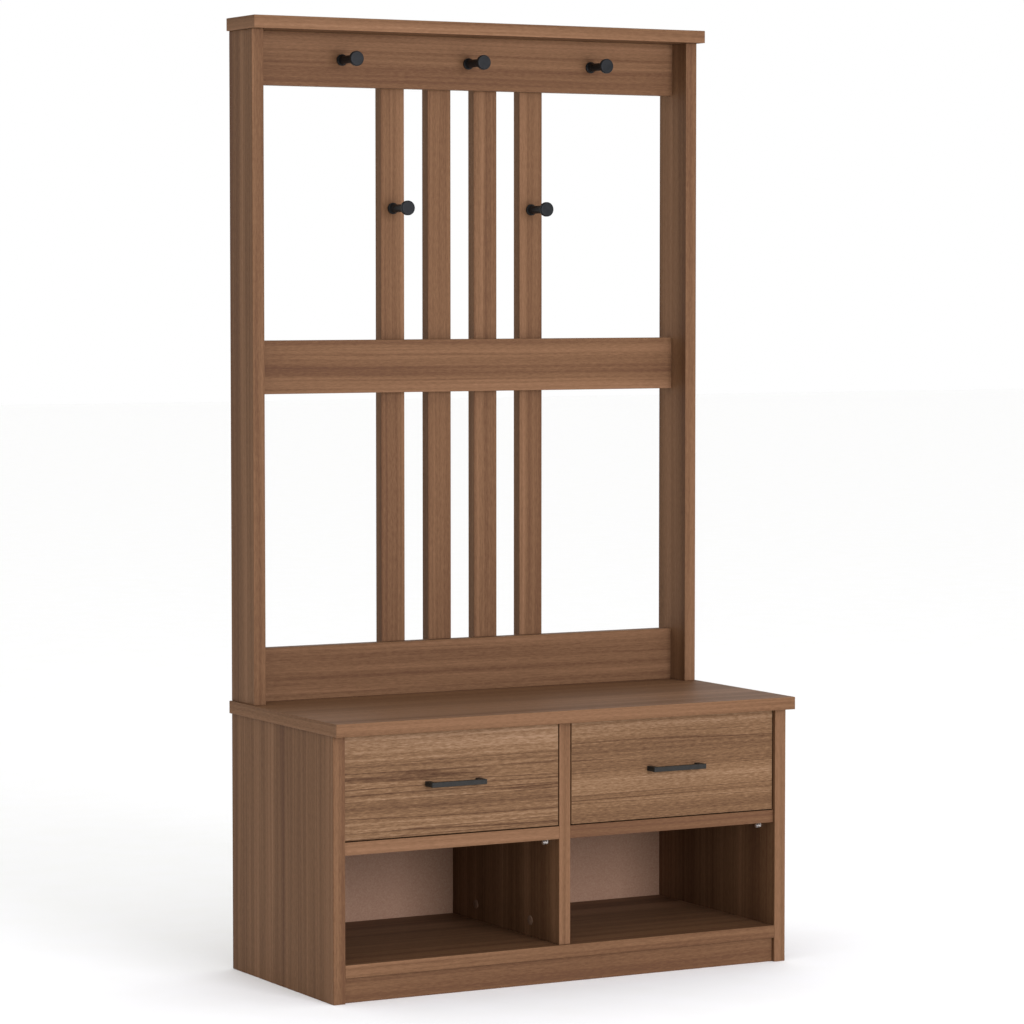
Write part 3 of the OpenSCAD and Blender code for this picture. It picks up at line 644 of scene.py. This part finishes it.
def staple_outline(low, high):
    """Points (x, y) round a handle seen from above, with round corners."""
    left, right, front, rear = low.x, high.x, low.y, high.y
    inner_left, inner_right = left + FOOT_WIDE, right - FOOT_WIDE
    inner_front = front + BAR_THICK
    o, i = OUTER_CORNER, INNER_CORNER
    return (
        arc((left + o, front + o), (o, o), 180, 270, 6)
        + arc((right - o, front + o), (o, o), 270, 360, 6)
        + [(right, rear), (inner_right, rear)]
        + arc((inner_right - i, inner_front + i), (i, i), 0, -90, 4)
        + arc((inner_left + i, inner_front + i), (i, i), 270, 180, 4)
        + [(inner_left, rear), (left, rear)]
    )


for side in ("left", "right"):
    node = "drawer_" + side + "_handle"
    low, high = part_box(node)
    shape = bmesh.new()
    floor = shape.faces.new([shape.verts.new((x, y, low.z)) for x, y in staple_outline(low, high)])
    raised = bmesh.ops.extrude_face_region(shape, geom=[floor])["geom"]
    for corner in (v for v in raised if isinstance(v, bmesh.types.BMVert)):
        corner.co.z = high.z
    bmesh.ops.recalc_face_normals(shape, faces=shape.faces)
    level = [e for e in shape.edges if abs(e.verts[0].co.z - e.verts[1].co.z) < SKIN_TOUCH]
    bevel(shape, level, HANDLE_EASE, ROUND_STEPS)
    handle = to_object(node + "_bar", as_mesh(node + "_bar", shape), [gunmetal_coat])
    weigh_normals(handle)
    finish_piece(handle, node)
print("a handle is", round((high.x - low.x) / MM, 1), "mm long")

# %% [markdown]
# ## Screws, nails, cams and caps
# Furniture fittings repeat: about a hundred and fifty of them hold this piece together. Copying meshes
# by hand would bury their few real differences, so one Geometry Nodes tree makes them all and sets them
# out on a cloud of points. The points, sizes and directions are measured on the CAD nodes first.

# %% Measure the fittings
END_TOUCH = 5e-5
SAME_RADIUS = 1e-4


def solids(node):
    """The separate solids of a node, each as a list of its corners."""
    shape = bmesh.new()
    shape.from_mesh(nodes[node].data)
    bmesh.ops.remove_doubles(shape, verts=shape.verts, dist=MERGE_GAP)
    left = set(shape.verts)
    found = []
    while left:
        first = min(left, key=lambda v: v.index)
        group, edge = {first}, [first]
        while edge:
            for link in edge.pop().link_edges:
                for v in link.verts:
                    if v not in group:
                        group.add(v)
                        edge.append(v)
        left -= group
        found.append([v.co.copy() for v in group])
    shape.free()
    return found


def measure(points):
    """A round fitting's head point, the way it aims, its length and its widest end's radius."""
    low = Vector([min(p[i] for p in points) for i in range(3)])
    high = Vector([max(p[i] for p in points) for i in range(3)])
    size = high - low
    middle = (low + high) / 2
    axis = min(range(3), key=lambda i: abs(size[(i + 1) % 3] - size[(i + 2) % 3]))
    others = [i for i in range(3) if i != axis]
    radii, counts = [], []
    for end in (low[axis], high[axis]):
        at_end = [p for p in points if abs(p[axis] - end) < END_TOUCH]
        radii.append(max(math.dist([p[i] for i in others], [middle[i] for i in others]) for p in at_end))
        counts.append(len(at_end))
    alike = abs(radii[0] - radii[1]) < SAME_RADIUS
    at_low = radii[0] > radii[1] + SAME_RADIUS or (alike and counts[0] >= counts[1])
    head = middle.copy()
    head[axis] = low[axis] if at_low else high[axis]
    aim = Vector((0, 0, 0))
    aim[axis] = 1 if at_low else -1
    return {"head": head, "aim": aim, "length": size[axis], "wide": max(radii)}


def grouped(node):
    """A node's fittings, sorted into kinds of the same length and width."""
    kinds = {}
    for fitting in map(measure, solids(node)):
        key = (round(fitting["length"] / MM, 1), round(fitting["wide"] / MM, 1))
        kinds.setdefault(key, []).append(fitting)
    return kinds


print({node: {k: len(v) for k, v in grouped(node).items()} for node in ("slat_screws", "cam_locks")})

# %% [markdown]
# ## The fitting tree
# A fitting is a head with an optional cross recess and a shank with an optional thread. The recess is
# cut with an exact boolean, because a real cut catches the light as a painted cross can't, and the
# thread is a small triangle swept along a spiral. Each point remembers which way its fitting aims, and
# a fixed seed turns every cross a little differently, as a hand leaves them.

# %% The head and the shank
SIZES = {"Length": 30 * MM, "Shank Radius": 2 * MM, "Tip Radius": 0.5 * MM, "Thread Pitch": 1.8 * MM,
         "Thread Height": 0.5 * MM, "Head Radius": 4 * MM, "Head Foot Radius": 2 * MM,
         "Head Height": 2.5 * MM, "Cross Length": 4.5 * MM, "Cross Width": 0.9 * MM,
         "Cross Depth": 1.4 * MM}
SWITCHES = ["Has Cross", "Has Shank", "Has Thread"]
SEED = 5
HEAD_SIDES = 24
SHANK_SIDES = 16
THREAD_STEPS = 12


def fitting_head(tree, given):
    """A head whose face lies at the origin, with the cross cut into it where it has one."""
    head = add(tree, "GeometryNodeMeshCone", {
        "Vertices": HEAD_SIDES, "Radius Bottom": given["Head Radius"],
        "Radius Top": given["Head Foot Radius"], "Depth": given["Head Height"]}).outputs["Mesh"]
    deep = add(tree, "ShaderNodeMath", {0: given["Cross Depth"], 1: 2.0}, operation="MULTIPLY")
    bars = []
    for first, second in (("Cross Length", "Cross Width"), ("Cross Width", "Cross Length")):
        size = add(tree, "ShaderNodeCombineXYZ", {
            "X": given[first], "Y": given[second], "Z": deep.outputs["Value"]})
        bars.append(add(tree, "GeometryNodeMeshCube", {"Size": size.outputs["Vector"]}).outputs["Mesh"])
    cross = add(tree, "GeometryNodeMeshBoolean", {"Mesh 2": bars}, operation="UNION", solver="EXACT")
    cut = add(tree, "GeometryNodeMeshBoolean", {"Mesh 1": head, "Mesh 2": cross.outputs["Mesh"]},
              operation="DIFFERENCE", solver="EXACT")
    chosen = add(tree, "GeometryNodeSwitch", {
        "Switch": given["Has Cross"], "False": head, "True": cut.outputs["Mesh"]}, input_type="GEOMETRY")
    return chosen.outputs["Output"]


def fitting_shank(tree, given):
    """A tapering shank along +Z from behind the head, with a thread wound round it where it has one."""
    run = add(tree, "ShaderNodeMath", {0: given["Length"], 1: given["Head Height"]}, operation="SUBTRACT")
    run = run.outputs["Value"]
    core = add(tree, "GeometryNodeMeshCone", {
        "Vertices": SHANK_SIDES, "Radius Bottom": given["Shank Radius"],
        "Radius Top": given["Tip Radius"], "Depth": run})
    turns = add(tree, "ShaderNodeMath", {0: run, 1: given["Thread Pitch"]}, operation="DIVIDE")
    helix = add(tree, "GeometryNodeCurveSpiral", {
        "Resolution": THREAD_STEPS, "Rotations": turns.outputs["Value"],
        "Start Radius": given["Shank Radius"], "End Radius": given["Tip Radius"], "Height": run})
    ridge = add(tree, "GeometryNodeCurvePrimitiveCircle", {
        "Resolution": 3, "Radius": given["Thread Height"]})
    thread = add(tree, "GeometryNodeCurveToMesh", {
        "Curve": helix.outputs["Curve"], "Profile Curve": ridge.outputs["Curve"], "Fill Caps": True})
    wound = add(tree, "GeometryNodeSwitch", {
        "Switch": given["Has Thread"], "True": thread.outputs["Mesh"]}, input_type="GEOMETRY")
    shank = add(tree, "GeometryNodeJoinGeometry", {
        "Geometry": [core.outputs["Mesh"], wound.outputs["Output"]]})
    behind = add(tree, "ShaderNodeCombineXYZ", {"Z": given["Head Height"]})
    placed = add(tree, "GeometryNodeTransform", {
        "Geometry": shank.outputs["Geometry"], "Translation": behind.outputs["Vector"]})
    chosen = add(tree, "GeometryNodeSwitch", {
        "Switch": given["Has Shank"], "True": placed.outputs["Geometry"]}, input_type="GEOMETRY")
    return chosen.outputs["Output"]


print("a head has", HEAD_SIDES, "sides and a shank", SHANK_SIDES)


# %% The whole tree
def fitting_turn(tree, given):
    """The rotation at each point: the shank along its aim, and the cross at a seeded random angle."""
    aim = add(tree, "GeometryNodeInputNamedAttribute", {"Name": "aim"}, data_type="FLOAT_VECTOR")
    point_along = add(tree, "FunctionNodeAlignRotationToVector", {
        "Vector": aim.outputs["Attribute"]}, axis="Z")
    twist = add(tree, "FunctionNodeRandomValue", {"Seed": given["Seed"], 3: math.tau}, data_type="FLOAT")
    spin = add(tree, "ShaderNodeCombineXYZ", {"Z": twist.outputs[1]})
    spin = add(tree, "FunctionNodeEulerToRotation", {"Euler": spin.outputs["Vector"]})
    turn = add(tree, "FunctionNodeRotateRotation", {
        "Rotation": point_along.outputs["Rotation"], "Rotate By": spin.outputs["Rotation"]},
        rotation_space="LOCAL")
    return turn.outputs["Rotation"]


def fitting_tree():
    """Builds the tree. Its head faces the point it sits on, and its shank runs along +Z."""
    tree = bpy.data.node_groups.new("furniture_fitting", "GeometryNodeTree")
    face = tree.interface
    face.new_socket("Geometry", in_out="OUTPUT", socket_type="NodeSocketGeometry")
    face.new_socket("Geometry", in_out="INPUT", socket_type="NodeSocketGeometry")
    for label, size in SIZES.items():
        face.new_socket(label, in_out="INPUT", socket_type="NodeSocketFloat").default_value = size
    for label in SWITCHES:
        face.new_socket(label, in_out="INPUT", socket_type="NodeSocketBool").default_value = True
    face.new_socket("Seed", in_out="INPUT", socket_type="NodeSocketInt").default_value = SEED
    face.new_socket("Material", in_out="INPUT", socket_type="NodeSocketMaterial")
    given = add(tree, "NodeGroupInput").outputs
    whole = add(tree, "GeometryNodeJoinGeometry", {
        "Geometry": [fitting_head(tree, given), fitting_shank(tree, given)]})
    set_out = add(tree, "GeometryNodeInstanceOnPoints", {
        "Points": given["Geometry"], "Instance": whole.outputs["Geometry"],
        "Rotation": fitting_turn(tree, given)})
    real = add(tree, "GeometryNodeRealizeInstances", {"Geometry": set_out.outputs["Instances"]})
    painted = add(tree, "GeometryNodeSetMaterial", {
        "Geometry": real.outputs["Geometry"], "Material": given["Material"]})
    add(tree, "NodeGroupOutput", {"Geometry": painted.outputs["Geometry"]})
    return tree


FITTING_TREE = fitting_tree()
INPUT_KEYS = {item.name: item.identifier for item in FITTING_TREE.interface.items_tree
              if item.in_out == "INPUT"}
print("the fitting tree has", len(FITTING_TREE.nodes), "nodes and", len(INPUT_KEYS), "inputs")


# %% Set out a group of fittings
def set_out(name, fittings, material, inputs):
    """A plain mesh of all the fittings, each at its point and aimed its way."""
    cloud = bpy.data.meshes.new(name)
    cloud.from_pydata([f["head"] for f in fittings], [], [])
    aims = cloud.attributes.new("aim", "FLOAT_VECTOR", "POINT")
    for value, fitting in zip(aims.data, fittings):
        value.vector = fitting["aim"]
    holder = to_object(name, cloud, [])
    modifier = holder.modifiers.new("set_out", "NODES")
    modifier.node_group = FITTING_TREE
    for label, value in {**inputs, "Material": material}.items():
        modifier[INPUT_KEYS[label]] = value
    evaluated = holder.evaluated_get(bpy.context.evaluated_depsgraph_get())
    mesh = bpy.data.meshes.new_from_object(evaluated)
    bpy.data.objects.remove(holder)
    return mesh


def join(name, meshes):
    """One mesh from several. Every face takes the first slot, for the one material they all wear."""
    shape = bmesh.new()
    for mesh in meshes:
        shape.from_mesh(mesh)
    for face in shape.faces:
        face.material_index = 0
    return as_mesh(name, shape)


print("a fitting's inputs are", ", ".join(INPUT_KEYS))

# %% [markdown]
# ## Each kind of fitting
# Wood screws are countersunk or flat-headed, and pointed. Machine screws for knobs and handles have flat
# heads and blunt ends. Nails have plain heads. A cam is a short drum with a cross for the driver, a cap
# is a thin disc with a soft rim, and a dowel is a plain peg with eased ends. Each rule turns a measured
# size into the tree's inputs, in shares of the shank and the head, so a longer or thicker screw keeps
# its look.

# %% Rules for the screws
# Shares of the shank's radius
THREAD_ROOT, WOOD_TIP, WOOD_RIDGE, WOOD_PITCH = 0.8, 0.15, 0.28, 1.1
MACHINE_ROOT, MACHINE_RIDGE, NAIL_TIP = 0.88, 0.12, 0.3
# Shares of the head's radius, and of its height
FLAT_TAPER, CROSS_LONG, CROSS_WIDE, CROSS_DEEP = 0.92, 1.1, 0.24, 0.55
MACHINE_PITCH = 0.7 * MM


def wood_screw(kind, foot_radius):
    """A threaded, pointed screw whose head narrows to foot_radius."""
    thin = kind["shank"]
    return {"Length": kind["length"], "Shank Radius": thin * THREAD_ROOT, "Tip Radius": thin * WOOD_TIP,
            "Thread Height": thin * WOOD_RIDGE, "Thread Pitch": thin * WOOD_PITCH,
            "Head Radius": kind["wide"], "Head Foot Radius": foot_radius, "Head Height": kind["head"],
            "Cross Length": kind["wide"] * CROSS_LONG, "Cross Width": kind["wide"] * CROSS_WIDE,
            "Cross Depth": kind["head"] * CROSS_DEEP}


def countersunk(kind):
    """A wood screw whose head narrows to its shank, so that it sinks flush."""
    return wood_screw(kind, kind["shank"])


def flat_headed(kind):
    """A wood screw whose head is nearly as wide behind as in front."""
    return wood_screw(kind, kind["wide"] * FLAT_TAPER)


def machine_screw(kind):
    """A flat-headed screw with a fine thread and a blunt end."""
    root = kind["shank"] * MACHINE_ROOT
    return {**flat_headed(kind), "Shank Radius": root, "Tip Radius": root,
            "Thread Height": kind["shank"] * MACHINE_RIDGE, "Thread Pitch": MACHINE_PITCH}


def nail(kind):
    """A plain head on a smooth, pointed shank."""
    return {**flat_headed(kind), "Shank Radius": kind["shank"], "Tip Radius": kind["shank"] * NAIL_TIP,
            "Has Cross": False, "Has Thread": False}


print("a machine thread's pitch is", MACHINE_PITCH / MM, "mm")

# %% Rules for the drums and pegs
CAM_CROSS_LONG = 9 * MM
CAM_CROSS_WIDE = 1.9 * MM
CAM_CROSS_DEEP = 3 * MM


def cam(kind):
    """A drum that is all head, with a cross for the driver."""
    return {"Length": kind["length"], "Head Radius": kind["wide"], "Head Foot Radius": kind["wide"],
            "Head Height": kind["length"], "Cross Length": CAM_CROSS_LONG, "Cross Width": CAM_CROSS_WIDE,
            "Cross Depth": CAM_CROSS_DEEP, "Has Shank": False}


def peg(kind):
    """A plain drum."""
    return {**cam(kind), "Has Cross": False}


print("a cam's cross is", round(CAM_CROSS_LONG / MM, 1), "mm long")

# %% Make every fitting
RIM_STEPS = 2
SHARP_RIM = math.radians(60)
SHARP_FITTING = math.radians(40)
# node: [rule, material, head height, shank radius, rim rounding], all in millimetres
KINDS = {
    "slat_screws": [countersunk, zinc_plate, 2.4, 1.9, 0],
    "frame_screws": [countersunk, zinc_plate, 4.0, 2.5, 0],
    "knob_screws": [machine_screw, zinc_plate, 2.6, 2.0, 0],
    "runner_screws": [flat_headed, zinc_plate, 1.2, 1.6, 0],
    "back_panel_nails": [nail, zinc_plate, 0.8, 0.9, 0],
    "cam_locks": [cam, cast_zinc, 0, 0, 0.4],
    "cover_caps": [peg, polythene_brown, 0, 0, 0.3],
    "wood_dowels": [peg, beech, 0, 0, 0.8],
}
for side in ("left", "right"):
    KINDS["drawer_" + side + "_screws"] = [countersunk, zinc_plate, 2.0, 1.6, 0]
    KINDS["drawer_" + side + "_handle_screws"] = [machine_screw, zinc_plate, 2.2, 2.0, 0]


def round_rims(shape, offset):
    """Rounds every sharp rim by offset metres."""
    rims = [e for e in shape.edges if e.is_manifold and e.calc_face_angle(0) > SHARP_RIM]
    bevel(shape, rims, offset, RIM_STEPS)


for node, (rule, material, head, shank, rounding) in KINDS.items():
    meshes = []
    for fittings in grouped(node).values():
        kind = {"length": fittings[0]["length"], "wide": fittings[0]["wide"],
                "head": head * MM, "shank": shank * MM}
        mesh = set_out(node + "_set", fittings, material, rule(kind))
        if rounding:
            shape = bmesh.new()
            shape.from_mesh(mesh)
            round_rims(shape, rounding * MM)
            mesh = as_mesh(node + "_rounded", shape)
        meshes.append(mesh)
    fitted = to_object(node + "_set", join(node + "_set", meshes), [material])
    fitted.data.shade_smooth()
    fitted.data.set_sharp_from_angle(angle=SHARP_FITTING)
    finish_piece(fitted, node)
    print(node, [len(f) for f in grouped(node).values()], "fittings,", len(fitted.data.polygons), "faces")

# %% [markdown]
# ## The shelf pins
# A shelf pin is a steel peg with a thicker collar and a small bent plate that the shelf lies on. There are
# only eight, so each is an eased copy of its CAD solid rather than a rule of its own.

# %% Ease the shelf pins
PIN_EASE = 0.3 * MM

pins = merged_copy("shelf_pins")
round_rims(pins, PIN_EASE)
eased_pins = to_object("shelf_pins_eased", as_mesh("shelf_pins_eased", pins), [bright_nickel])
weigh_normals(eased_pins)
finish_piece(eased_pins, "shelf_pins")
print("shelf pins", len(eased_pins.data.polygons), "faces")

# %% [markdown]
# ## Runners and rollers
# The runners are pressed steel with true thickness in the CAD model, and their shape is right as it
# stands, so they keep their meshes and only take a finish. So do the rollers and the cam bolts, which
# sit deep in their gaps.

# %% Finish the nodes that stay
KEPT = {"cam_bolts": zinc_plate, "cabinet_runners": epoxy_white,
        "front_rollers_left": nylon_white, "front_rollers_right": nylon_white}
for side in ("left", "right"):
    KEPT["drawer_" + side + "_runners"] = epoxy_white
    KEPT["drawer_" + side + "_rollers"] = nylon_white
    KEPT["drawer_" + side + "_cam_fittings"] = cast_zinc
for node, material in KEPT.items():
    nodes[node].data.materials.clear()
    nodes[node].data.materials.append(material)
print("nodes kept with a new finish", len(KEPT))

# %% [markdown]
# ## The floor
# A plain pale floor, large enough to run out of view, catches a soft shadow and stands the bench on
# something. It is part of the stage, not of the furniture, and one flat face is all it needs.

# %% Lay the floor
FLOOR_REACH = 30

floor_mesh = bpy.data.meshes.new("studio_floor")
floor_mesh.from_pydata([(x * FLOOR_REACH, y * FLOOR_REACH, 0)
                        for x, y in ((-1, -1), (1, -1), (1, 1), (-1, 1))], [], [(0, 1, 2, 3)])
# Matt floor paint: nearly white, so it fades into the sky
pale_floor = speckled("pale_floor_paint", "#fcfcfb", "#fdfdfd", 10 * MM, 0.1 * MM, (0.8, 0.9),
                      {"IOR": 1.45})
studio_floor = to_object("studio_floor", floor_mesh, [pale_floor])
print("the floor reaches", FLOOR_REACH, "m each way")
